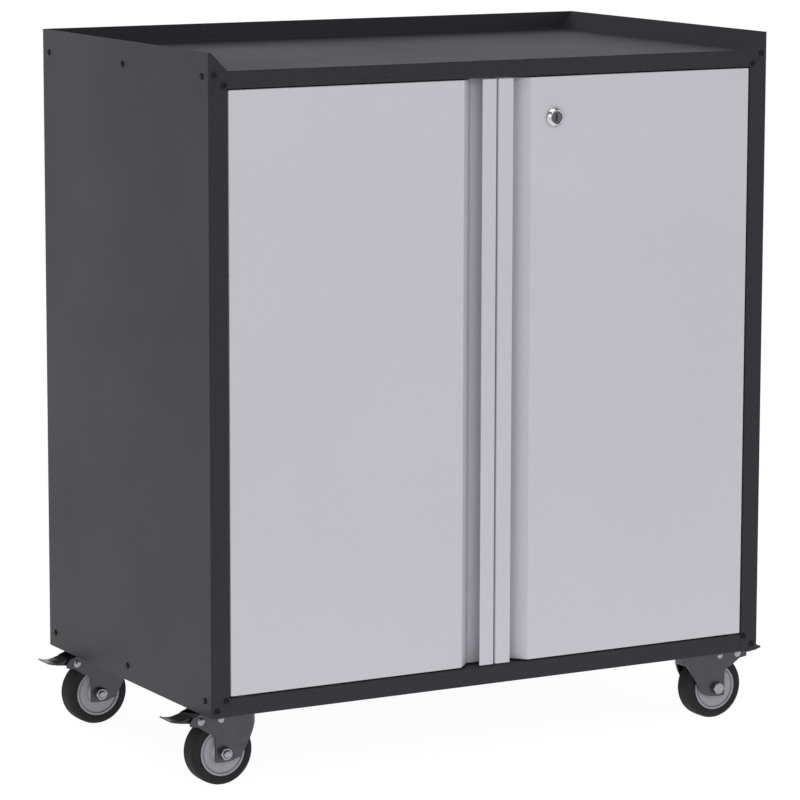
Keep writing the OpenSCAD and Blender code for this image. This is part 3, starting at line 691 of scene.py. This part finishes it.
def make_door_back(side):
    """Back sheet with two long ribs pressed into the door."""
    name = "left_door" if side < 0 else "right_door"
    low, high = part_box("right_door_back")
    width = skin_high.x - skin_low.x
    face_y = high.y
    bm = bmesh.new()
    outline = rounded_rectangle((low.x, low.z), (high.x, high.z), 3 * MM)
    edges = add_loop(bm, outline, face_y)[1]
    ribs = []
    for share in RIB_SHARES:
        middle = skin_low.x + share * width
        rings = []
        for inset, depth in RIB_SECTION:
            start = (middle - RIB_HALF_W + inset * MM, skin_low.z + RIB_FOOT + inset * MM)
            end = (middle + RIB_HALF_W - inset * MM, skin_high.z - RIB_HEAD - inset * MM)
            points = rounded_rectangle(start, end, RIB_CORNER - inset * MM, 8)
            ring, ring_edges = add_loop(bm, points, face_y - depth * MM)
            rings.append(ring)
            if inset == 0:
                edges += ring_edges
        ribs.append(rings)
    bmesh.ops.triangle_fill(bm, use_beauty=True, use_dissolve=False, edges=edges)
    for rings in ribs:
        for outer, inner in zip(rings, rings[1:]):
            for i in range(len(outer)):
                bm.faces.new((outer[i - 1], outer[i], inner[i], inner[i - 1]))
        bm.faces.new(rings[-1])
    bmesh.ops.recalc_face_normals(bm, faces=bm.faces)
    if sum(f.normal.y * f.calc_area() for f in bm.faces) < 0:
        bmesh.ops.reverse_faces(bm, faces=bm.faces)
    if side < 0:
        mirror_x(bm)
    piece(name + "_back_sheet", bm, name, "door_paint", [name + "_back"], sheet=SHEET)


# ---------------------------------------------------------------- fasteners and turned parts

SCREW_TURN = 2.4                     # radians from one screw's cross to the next one's
DOME_STEPS = 5


def carve(bm, cutter):
    """The first solid with the second cut away, as a new mesh."""
    objects = []
    for part in (bm, cutter):
        bmesh.ops.recalc_face_normals(part, faces=part.faces)
        mesh = bpy.data.meshes.new("carving")
        part.to_mesh(mesh)
        part.free()
        obj = bpy.data.objects.new("carving", mesh)
        bpy.context.scene.collection.objects.link(obj)
        objects.append(obj)
    cut = objects[0].modifiers.new("cut", "BOOLEAN")
    cut.object = objects[1]
    cut.operation = "DIFFERENCE"
    cut.solver = "EXACT"
    graph = bpy.context.evaluated_depsgraph_get()
    result = bpy.data.meshes.new_from_object(objects[0].evaluated_get(graph))
    for obj in objects:
        bpy.data.objects.remove(obj)
    return result


def prism(bm, points, low_z, high_z, taper=1.0):
    """Closed prism over a 2D outline, its lower end scaled by taper."""
    lower = [bm.verts.new((x * taper, y * taper, low_z)) for x, y in points]
    upper = [bm.verts.new((x, y, high_z)) for x, y in points]
    bm.faces.new(list(reversed(lower)))
    bm.faces.new(upper)
    for i in range(len(points)):
        bm.faces.new((lower[i - 1], lower[i], upper[i], upper[i - 1]))


def pan_screw():
    """Pan head screw seated at z = 0, with a cross recess."""
    head_r, head_h, shank_r, length = 3.5 * MM, 1.9 * MM, 1.8 * MM, 8 * MM
    crown = []
    for step in range(9):
        angle = math.radians(90 * step / 8)
        radius = head_r * math.cos(angle) ** 0.6
        crown.append((max(radius, 0.05 * MM), 0.35 * head_h + 0.65 * head_h * math.sin(angle)))
    bm = bmesh.new()
    shank = [(shank_r, -length), (shank_r, 0.0), (head_r * 0.97, 0.0), (head_r, 0.1 * MM)]
    lathe(bm, shank + crown, steps=32)
    wide, long = 0.45 * MM, 2.1 * MM
    cross = [
        (long, wide), (wide, wide), (wide, long), (-wide, long), (-wide, wide), (-long, wide),
        (-long, -wide), (-wide, -wide), (-wide, -long), (wide, -long), (wide, -wide), (long, -wide),
    ]
    cutter = bmesh.new()
    prism(cutter, cross, 0.25 * head_h, 1.3 * head_h, 0.55)
    return carve(bm, cutter)


def stamp(bm, mesh, place):
    """Adds a copy of a mesh at a place."""
    before = len(bm.verts)
    bm.from_mesh(mesh)
    bm.verts.ensure_lookup_table()
    bmesh.ops.transform(bm, matrix=place, verts=bm.verts[before:])


def facing(point, direction, roll=0.0):
    """Place whose local Z points in a direction."""
    turn = Vector(direction).to_track_quat("Z", "Y").to_matrix().to_4x4()
    return Matrix.Translation(point) @ turn @ Matrix.Rotation(roll, 4, "Z")


def make_screws():
    """Every screw head stands where its CAD solid is, each turned to its own angle."""
    screw = pan_screw()
    for node in ("side_screws", "post_screws", "back_screws"):
        bm = bmesh.new()
        for i, (low, high) in enumerate(islands(node)):
            middle = (low + high) / 2
            if node == "side_screws":
                outward = Vector((math.copysign(1, middle.x), 0, 0))
                middle.x = outward.x * SIDE_X
            elif node == "post_screws":
                outward = Vector((0, -1, 0))
                middle.y = FRONT_Y
            else:
                outward = Vector((0, 1, 0))
                middle.y = BACK_Y
            stamp(bm, screw, facing(middle, outward, i * SCREW_TURN))
        piece(node + "_heads", bm, "cabinet", "black_screw", [node], edge=0.08 * MM, segments=1)


def dome(radius, height):
    """Profile of a low domed head, from its rim to its middle."""
    points = []
    for step in range(DOME_STEPS + 1):
        angle = math.radians(90 * step / DOME_STEPS)
        points.append((max(radius * math.cos(angle), 0.02 * MM), height * math.sin(angle)))
    return points


def make_door_pins():
    """Two collared pins for each door, the collar towards its outer end."""
    for side in ("left", "right"):
        bm = bmesh.new()
        for low, high in islands(side + "_hinge_pins"):
            middle = (low + high) / 2
            upward = 1 if middle.z > (RAIL_Z + PAN_Z) / 2 else -1
            reach = (high.z - low.z) / 2
            collar_end = reach - 7.5 * MM
            profile = [
                (2.6 * MM, -reach),
                (3.0 * MM, -reach + 0.4 * MM),
                (3.0 * MM, collar_end - 4 * MM),
                (4.7 * MM, collar_end - 4 * MM),
                (5.0 * MM, collar_end - 3.7 * MM),
                (5.0 * MM, collar_end),
                (3.0 * MM, collar_end),
                (3.0 * MM, reach - 0.8 * MM),
                (2.3 * MM, reach),
            ]
            lathe(bm, profile, facing(middle, (0, 0, upward)), steps=32)
        name = side + "_hinge_pins"
        piece(name + "_turned", bm, side + "_door", "zinc", [name], edge=0)


def make_bushes():
    """Flanged bushes that the pins turn in."""
    bm = bmesh.new()
    for low, high in islands("hinge_bushes"):
        middle = (low + high) / 2
        inward = -1 if middle.z > (RAIL_Z + PAN_Z) / 2 else 1
        end = (high.z - low.z) / 2
        profile = [
            (3.05 * MM, -end),
            (3.9 * MM, -end),
            (4.1 * MM, -end + 0.3 * MM),
            (4.1 * MM, end - 1.2 * MM),
            (6.4 * MM, end - 1.2 * MM),
            (6.5 * MM, end - 0.2 * MM),
            (6.2 * MM, end),
            (3.3 * MM, end),
            (3.05 * MM, end - 0.3 * MM),
        ]
        lathe(bm, profile, facing(middle, (0, 0, inward)), steps=32, closed=True)
    piece("hinge_bushes_moulded", bm, "cabinet", "nylon", ["hinge_bushes"], edge=0)


# ---------------------------------------------------------------- lock

BARREL_R = 9.5 * MM
LOCK_NUT_FLATS = 24 * MM


def make_lock():
    """Bezel and barrel in one, the nut that holds them in the door, and the plug."""
    low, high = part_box("lock_body")
    centre = Vector(((low.x + high.x) / 2, FRONT_Y, (low.z + high.z) / 2))
    place = facing(centre, (0, -1, 0))
    rim = (high.x - low.x) / 2
    crown = FRONT_Y - low.y
    rear = high.y - FRONT_Y
    bore = 7.05 * MM
    shell = [
        (rim, 0.0),
        (rim, 1.4 * MM),
        (rim - 1.1 * MM, 3.0 * MM),
        (rim - 3.0 * MM, crown),
        (bore, crown),
    ]
    profile = [(BARREL_R, -rear), (BARREL_R, 0.0)]
    profile += [tuple(p) for p in rounded(shell, 0.7 * MM, 5)]
    profile += [(bore, crown - 0.5 * MM), (bore, -rear)]
    bm = bmesh.new()
    lathe(bm, profile, place, steps=72, closed=True)
    piece("lock_bezel", bm, "right_door", "lock_chrome", ["lock_body"], edge=0)

    bm = bmesh.new()
    nut_low, nut_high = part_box("lock_nut")
    nut_place = facing(Vector((centre.x, nut_low.y, centre.z)), (0, 1, 0))
    hexagon(bm, nut_place, LOCK_NUT_FLATS, nut_high.y - nut_low.y, hole=BARREL_R)
    piece("lock_nut_threaded", bm, "right_door", "zinc", ["lock_nut"], edge=0)
    make_plug(place)


def make_plug(place):
    """Plug with a ring groove and a slot for a double-bitted key."""
    plug_low, plug_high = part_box("lock_plug")
    face = FRONT_Y - plug_low.y
    end = plug_high.y - FRONT_Y
    body = [
        (2.0 * MM, -end),
        (7.0 * MM, -end),
        (7.0 * MM, face - 0.5 * MM),
        (6.6 * MM, face),
        (5.3 * MM, face),
        (5.15 * MM, face - 0.3 * MM),
        (4.85 * MM, face - 0.3 * MM),
        (4.7 * MM, face),
        (0.05 * MM, face),
    ]
    bm = bmesh.new()
    lathe(bm, body, steps=64)
    slot_h, slot_w, eye = 4.2 * MM, 0.75 * MM, 1.35 * MM
    cutter = bmesh.new()
    outline = [(slot_w, -slot_h), (slot_w, -eye)]
    outline += [(eye * math.cos(a), eye * math.sin(a)) for a in (-0.7, -0.35, 0.0, 0.35, 0.7)]
    outline += [(slot_w, eye), (slot_w, slot_h)]
    outline += [(-x, -y) for x, y in outline]
    prism(cutter, outline, face - 8 * MM, face + 1 * MM)
    mesh = carve(bm, cutter)
    bm = bmesh.new()
    stamp(bm, mesh, place)
    piece(
        "lock_plug_slotted", bm, "lock_core", "lock_core_metal", ["lock_plug"],
        edge=0.08 * MM, segments=1,
    )


# ---------------------------------------------------------------- casters

FORK_Y = 17 * MM                     # outer face of a fork leg from the wheel's middle
TYRE_HALF = 12.2 * MM
HUB_R = 26.7 * MM
HEX_FLATS = 13 * MM
BOLT_R = 4 * MM                      # M8 axles and plate bolts
BOLT_HEAD_H = 5.3 * MM
AXLE_NUT_H = 6.5 * MM
PITCH = 1.25 * MM
STAMPING_EDGE = 0.8 * MM             # rounding of the pressed forks and pedals
RIVET_HEAD_H = 1.3 * MM


def threaded(length, radius):
    """Profile of a threaded bolt end, from its root to its chamfered tip."""
    turns = max(int(length / PITCH), 1)
    points = []
    for turn in range(turns):
        start = turn * PITCH
        points += [(radius * 0.86, start), (radius, start + 0.4 * PITCH), (radius, start + 0.6 * PITCH)]
    return points + [(radius * 0.86, turns * PITCH), (radius * 0.8, length)]


def wheel_place(name):
    """Middle of a wheel, local Z along its axle towards the bolt's head."""
    low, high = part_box(f"caster_{name}_tyre")
    turn = Matrix.Rotation(0 if WHEELS[name] > 0 else math.pi, 4, "Z")
    return Matrix.Translation((low + high) / 2) @ turn @ Matrix.Rotation(math.pi / 2, 4, "X")


def mirrored(profile):
    """A half profile, from the middle outwards, together with its mirror image."""
    return [(r, -h) for r, h in reversed(profile)] + list(profile)


def make_tyre(name):
    """Solid tyre with a moulding line round its middle and a groove beside the wheel centre."""
    low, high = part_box(f"caster_{name}_tyre")
    radius = (high.z - low.z) / 2
    half = (high.y - low.y) / 2
    shoulder = 4.5 * MM
    side = [
        (radius, 0.0),
        (radius, 0.25 * MM),
        (radius - 0.15 * MM, 0.5 * MM),
    ]
    for step in range(9):
        angle = math.radians(90 * step / 8)
        side.append((
            radius - shoulder + (shoulder - 0.2 * MM) * math.cos(angle),
            half - shoulder + shoulder * math.sin(angle),
        ))
    side += [
        (HUB_R + 2.6 * MM, half),
        (HUB_R + 2.2 * MM, half - 0.5 * MM),
        (HUB_R + 0.9 * MM, half - 0.5 * MM),
        (HUB_R + 0.4 * MM, half - 0.1 * MM),
        (HUB_R, half - 0.1 * MM),
    ]
    bm = bmesh.new()
    lathe(bm, mirrored(side), wheel_place(name), steps=96, closed=True)
    piece(f"caster_{name}_tread", bm, f"{name}_wheel", "tyre_rubber", [f"caster_{name}_tyre"], edge=0)


def make_hub(name):
    """Wheel centre with a raised rim, a groove and a dished web."""
    low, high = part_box(f"caster_{name}_hub")
    half = (high.y - low.y) / 2
    face = TYRE_HALF
    outer = rounded([
        (HUB_R, 0.0),
        (HUB_R, face + 0.5 * MM),
        (24.6 * MM, face + 0.5 * MM),
        (24.1 * MM, face - 1.6 * MM),
        (23.3 * MM, face - 1.6 * MM),
        (22.9 * MM, face - 0.3 * MM),
        (13.0 * MM, face - 0.8 * MM),
        (10.0 * MM, half),
        (4.1 * MM, half),
        (4.1 * MM, 0.0),
    ], 0.25 * MM, 3)
    bm = bmesh.new()
    lathe(bm, mirrored([tuple(p) for p in outer]), wheel_place(name), steps=96, closed=True)
    piece(f"caster_{name}_centre", bm, f"{name}_wheel", "hub_plastic", [f"caster_{name}_hub"], edge=0)


def make_axle(name):
    """Axle bolt with its head on one leg of the fork and its nut on the other."""
    place = wheel_place(name)
    bm = bmesh.new()
    hexagon(bm, place @ Matrix.Translation((0, 0, FORK_Y)), HEX_FLATS, BOLT_HEAD_H)
    far = place @ Matrix.Rotation(math.pi, 4, "X")
    hexagon(bm, far @ Matrix.Translation((0, 0, FORK_Y)), HEX_FLATS, AXLE_NUT_H, hole=BOLT_R * 1.01)
    shank_end = FORK_Y + 2 * MM
    thread = threaded(AXLE_NUT_H + 0.5 * MM, BOLT_R * 0.99)
    shank = [(BOLT_R, -FORK_Y - 0.1 * MM), (BOLT_R, shank_end)]
    shank += [(r, shank_end + h) for r, h in thread]
    lathe(bm, shank, far, steps=32)
    piece(f"caster_{name}_axle_bolt", bm, f"{name}_swivel", "zinc", [f"caster_{name}_axle"], edge=0)


def make_rivets(name):
    """Pivot rivet of the pedal through both legs, and one stud in each leg."""
    bm = bmesh.new()
    for low, high in islands(f"caster_{name}_rivets"):
        middle = (low + high) / 2
        reach = (high.y - low.y) / 2
        head_r = (high.z - low.z) / 2
        is_pivot = reach > FORK_Y
        if is_pivot:
            half = [(3 * MM, 0.0), (3 * MM, FORK_Y), (head_r, FORK_Y), (head_r, FORK_Y + 0.3 * MM)]
            half += [(r, FORK_Y + 0.3 * MM + h) for r, h in dome(head_r, RIVET_HEAD_H)]
            lathe(bm, mirrored(half), facing(middle, (0, -1, 0)), steps=32)
        else:
            wheel_y = wheel_place(name).translation.y
            outward = math.copysign(1, middle.y - wheel_y)
            seat = Vector((middle.x, wheel_y + outward * FORK_Y, middle.z))
            stud = [
                (3 * MM, -3 * MM),
                (3 * MM, -2 * MM),
                (2 * MM, -2 * MM),
                (2 * MM, 0.0),
                (head_r, 0.0),
            ]
            stud += [(r, 0.3 * MM + h) for r, h in dome(head_r, RIVET_HEAD_H)]
            lathe(bm, stud, facing(seat, (0, outward, 0)), steps=32)
    piece(f"caster_{name}_rivet_heads", bm, f"{name}_swivel", "zinc", [f"caster_{name}_rivets"], edge=0)


def make_caster_bolts():
    """Bolts with their heads in the cabinet and their nuts under the mounting plates."""
    bolts, nuts = bmesh.new(), bmesh.new()
    for low, high in islands("caster_bolts"):
        middle = (low + high) / 2
        hexagon(bolts, facing(Vector((middle.x, middle.y, PAN_Z)), (0, 0, 1)), HEX_FLATS, BOLT_HEAD_H)
        length = PAN_Z - low.z
        grip = 6 * MM
        shank = [(BOLT_R, 0.0), (BOLT_R, grip)]
        shank += [(r, grip + h) for r, h in threaded(length - grip, BOLT_R)]
        lathe(bolts, shank, facing(Vector((middle.x, middle.y, PAN_Z)), (0, 0, -1)), steps=32)
    for low, high in islands("caster_nuts"):
        middle = (low + high) / 2
        place = facing(Vector((middle.x, middle.y, high.z)), (0, 0, -1))
        hexagon(nuts, place, HEX_FLATS, high.z - low.z, hole=BOLT_R * 1.01)
    piece("caster_bolts_hex", bolts, "cabinet", "zinc", ["caster_bolts"], edge=0)
    piece("caster_nuts_hex", nuts, "cabinet", "zinc", ["caster_nuts"], edge=0)


def make_casters():
    """Four casters with their plates, bolts and nuts."""
    for name in WHEELS:
        make_tyre(name)
        make_hub(name)
        make_axle(name)
        make_rivets(name)
        caster = f"caster_{name}"
        refined(
            f"{caster}_fork_stamping", f"{caster}_fork", f"{name}_swivel", "fork_metal", STAMPING_EDGE, 3
        )
        refined(
            f"{caster}_brake_lever", f"{caster}_pedal", f"{name}_pedal", "pedal_metal", STAMPING_EDGE, 3
        )
    make_caster_bolts()
    refined("caster_plates_pressed", "caster_plates", "cabinet", "zinc", 0.4 * MM)


# ---------------------------------------------------------------- small fittings

# Inner fittings that keep the CAD shape and only get rounded edges: body, slot, edge
FITTINGS = {
    "upright_front_left": ("cabinet", "body_paint", 0.2 * MM),
    "upright_front_right": ("cabinet", "body_paint", 0.2 * MM),
    "upright_rear_left": ("cabinet", "body_paint", 0.2 * MM),
    "upright_rear_right": ("cabinet", "body_paint", 0.2 * MM),
    "shelf_clips": ("cabinet", "zinc", 0.3 * MM),
    "magnet_catches": ("cabinet", "black_plastic", 0.6 * MM),
    "door_stops": ("cabinet", "buffer_rubber", 1.0 * MM),
    "left_strike": ("left_door", "zinc", 0.25 * MM),
    "right_strike": ("right_door", "zinc", 0.25 * MM),
    "lock_cam": ("lock_core", "zinc", 0.3 * MM),
    "lock_cam_screw": ("lock_core", "zinc", 0.4 * MM),
    "caster_kingpins": ("cabinet", "zinc", 0.8 * MM),
}


def make_fittings():
    """The inner fittings of the table above."""
    for node, (body, slot, edge) in FITTINGS.items():
        refined(node + "_edged", node, body, slot, edge)


def build():
    """Every visible piece of the cabinet."""
    for side in (-1, 1):
        make_side_panel(side)
        make_door_skin(side)
        make_door_back(side)
    make_worktop()
    make_base_pan()
    make_back_panel()
    make_shelf()
    make_screws()
    make_door_pins()
    make_bushes()
    make_lock()
    make_casters()
    make_fittings()


# ---------------------------------------------------------------- stage and light

FLOOR_HALF = 14.0
FLOOR_COLOUR = (0.18, 0.18, 0.19)
FLOOR_GLOW = (0.62, 0.96)            # emission in front of the cabinet and behind it
FLOOR_GLOW_Y = (-1.8, -0.35)         # where the glow starts and stops growing
BACKDROP_COLOUR = (0.985, 0.975, 1.03, 1.0)
BRIGHT_SIDE = (-0.63, 0.77, 0.0)     # horizontal direction of the brightest part of the backdrop
LIGHT_TARGET = (0, 0, 0.45)


def make_stage():
    """Plain pale floor that glows a little, most of all beside and behind the cabinet."""
    bm = bmesh.new()
    corners = [(-1, -1), (1, -1), (1, 1), (-1, 1)]
    bm.faces.new([bm.verts.new((x * FLOOR_HALF, y * FLOOR_HALF, 0)) for x, y in corners])
    mesh = bpy.data.meshes.new("floor")
    bm.to_mesh(mesh)
    bm.free()
    floor = bpy.data.objects.new("floor", mesh)
    bpy.context.scene.collection.objects.link(floor)
    s = Shader(
        "pale_floor", Roughness=0.9, Specular_IOR_Level=0.1,
        Emission_Color=(0.99, 0.985, 1.0, 1.0),
    )
    depth = s.node("ShaderNodeSeparateXYZ", {"Vector": s.place}).outputs["Y"]
    mesh.materials.append(s.finish(
        Base_Color=s.blend(s.noise(3.0), tone(FLOOR_COLOUR, 0.98), tone(FLOOR_COLOUR, 1.02)),
        Emission_Strength=s.between(depth, *FLOOR_GLOW, *FLOOR_GLOW_Y),
    ))


def area_light(name, place, size, power):
    """Rectangular soft box that faces the middle of the cabinet."""
    data = bpy.data.lights.new(name, "AREA")
    data.shape = "RECTANGLE"
    data.size, data.size_y = size
    data.energy = power
    lamp = bpy.data.objects.new(name, data)
    lamp.location = place
    lamp.rotation_euler = (Vector(LIGHT_TARGET) - Vector(place)).to_track_quat("-Z", "Y").to_euler()
    bpy.context.scene.collection.objects.link(lamp)


def make_light():
    """White studio with a dim ceiling, brightest behind on the left, and four soft boxes."""
    world = bpy.data.worlds.new("studio")
    bpy.context.scene.world = world
    world.use_nodes = True
    nodes, links = world.node_tree.nodes, world.node_tree.links

    def ranged(value, start, end, low, high):
        made = nodes.new("ShaderNodeMapRange")
        for name, number in zip(("From Min", "From Max", "To Min", "To Max"), (start, end, low, high)):
            made.inputs[name].default_value = number
        links.new(value, made.inputs["Value"])
        return made.outputs["Result"]

    direction = nodes.new("ShaderNodeTexCoord").outputs["Generated"]
    aside = nodes.new("ShaderNodeVectorMath")
    aside.operation = "DOT_PRODUCT"
    aside.inputs[1].default_value = BRIGHT_SIDE
    upward = nodes.new("ShaderNodeSeparateXYZ")
    links.new(direction, aside.inputs[0])
    links.new(direction, upward.inputs[0])
    strength = nodes.new("ShaderNodeMath")
    strength.operation = "MULTIPLY"
    links.new(ranged(aside.outputs["Value"], -0.8, 0.9, 0.46, 0.82), strength.inputs[0])
    links.new(ranged(upward.outputs["Z"], 0.12, 0.50, 1.0, 0.35), strength.inputs[1])
    background = nodes["Background"]
    background.inputs["Color"].default_value = BACKDROP_COLOUR
    links.new(strength.outputs[0], background.inputs["Strength"])

    area_light("top_box", (-0.4, -0.7, 3.0), (2.0, 1.6), 14)
    area_light("front_box", (-0.6, -3.2, 2.3), (2.2, 1.4), 21)
    area_light("left_box", (-2.7, -2.1, 1.5), (1.2, 1.6), 10)
    area_light("right_box", (2.6, -2.4, 1.8), (1.2, 1.8), 14)
    bpy.context.scene.view_settings.view_transform = "Standard"


MATERIALS = make_materials()
make_camera()
build()
# CAD nodes keep their shape and take the finished material of their slot
for name, obj in NODES.items():
    slot = next(p["material_slot"] for p in frame["record"]["subparts"] if p["node"] == name)
    obj.data.materials.clear()
    obj.data.materials.append(MATERIALS[slot])
make_stage()
make_light()
